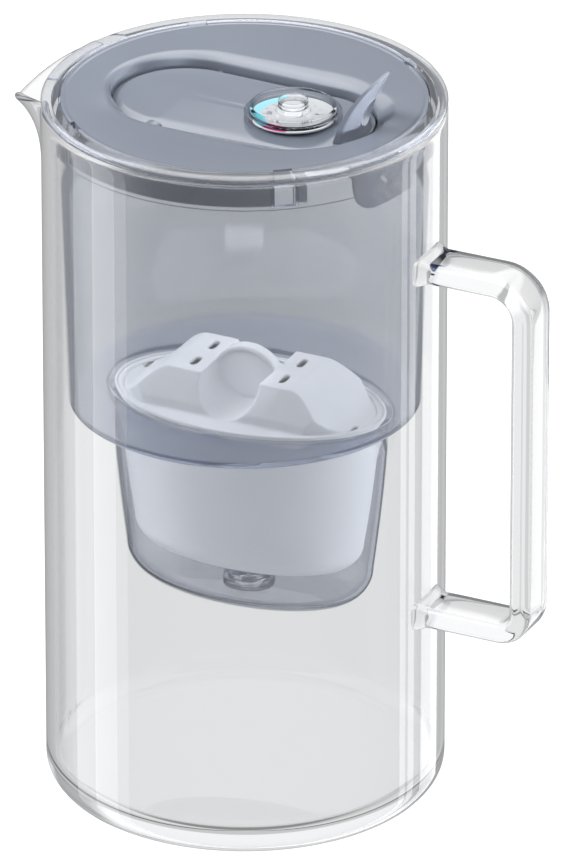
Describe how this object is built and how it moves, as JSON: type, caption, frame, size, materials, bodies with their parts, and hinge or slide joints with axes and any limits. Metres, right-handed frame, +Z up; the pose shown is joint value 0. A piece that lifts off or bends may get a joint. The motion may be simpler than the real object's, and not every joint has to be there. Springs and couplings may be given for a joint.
{
  "type": "water filter pitcher",
  "caption": "Cylindrical glass water jug with a strap handle, a pulled spout, a filter hopper and cartridge, and a lid with a rocking filling flap and dial.",
  "frame": {"origin": "centre of the jug's flat base, on the jug's axis", "axes": "+X toward the handle, -X toward the spout, +Z up"},
  "size_m": [0.1895, 0.132, 0.2634],
  "materials": {
    "clear_glass": "clear polished glass",
    "tinted_plastic": "grey-blue translucent gloss",
    "white_plastic": "satin white",
    "screen_mesh": "fine woven mesh",
    "granules": "packed carbon and resin granules",
    "lid_plastic": "grey-blue satin",
    "clear_plastic": "clear gloss",
    "printed_disc": "white with a printed arc and plain numbers"
  },
  "bodies": {
    "jug": {"glass_body": "clear_glass", "glass_handle": "clear_glass"},
    "hopper": {"hopper": "tinted_plastic"},
    "cartridge": {"cartridge_cup": "white_plastic", "cartridge_cap": "white_plastic", "inlet_screen": "screen_mesh", "filter_media": "granules", "outlet_screen": "screen_mesh"},
    "lid": {"lid_shell": "lid_plastic"},
    "flap": {"flap": "lid_plastic", "dial_bezel": "clear_plastic", "dial_disc": "printed_disc"},
    "dial": {"dial_knob": "clear_plastic"}
  },
  "joints": [
    {"name": "hopper_lift", "type": "slide", "parent": "jug", "child": "hopper", "axis": [0, 0, 1], "range_m": [0, 0.185]},
    {"name": "lid_lift", "type": "slide", "parent": "hopper", "child": "lid", "axis": [0, 0, 1], "range_m": [0, 0.235]},
    {"name": "cartridge_lift", "type": "slide", "parent": "hopper", "child": "cartridge", "axis": [0, 0, 1], "range_m": [0, 0.175]},
    {"name": "flap_hinge", "type": "hinge", "parent": "lid", "child": "flap", "pos_m": [-0.0205, 0, 0.2384], "axis": [0, -1, 0], "range_deg": [0, 85]},
    {"name": "dial_turn", "type": "hinge", "parent": "flap", "child": "dial", "pos_m": [0.0175, 0, 0.2408], "axis": [0, 0, 1], "continuous": true}
  ],
  "couplings": [
    {"joint": "cartridge_lift", "follows": "lid_lift", "ratio": 0.74}
  ]
}
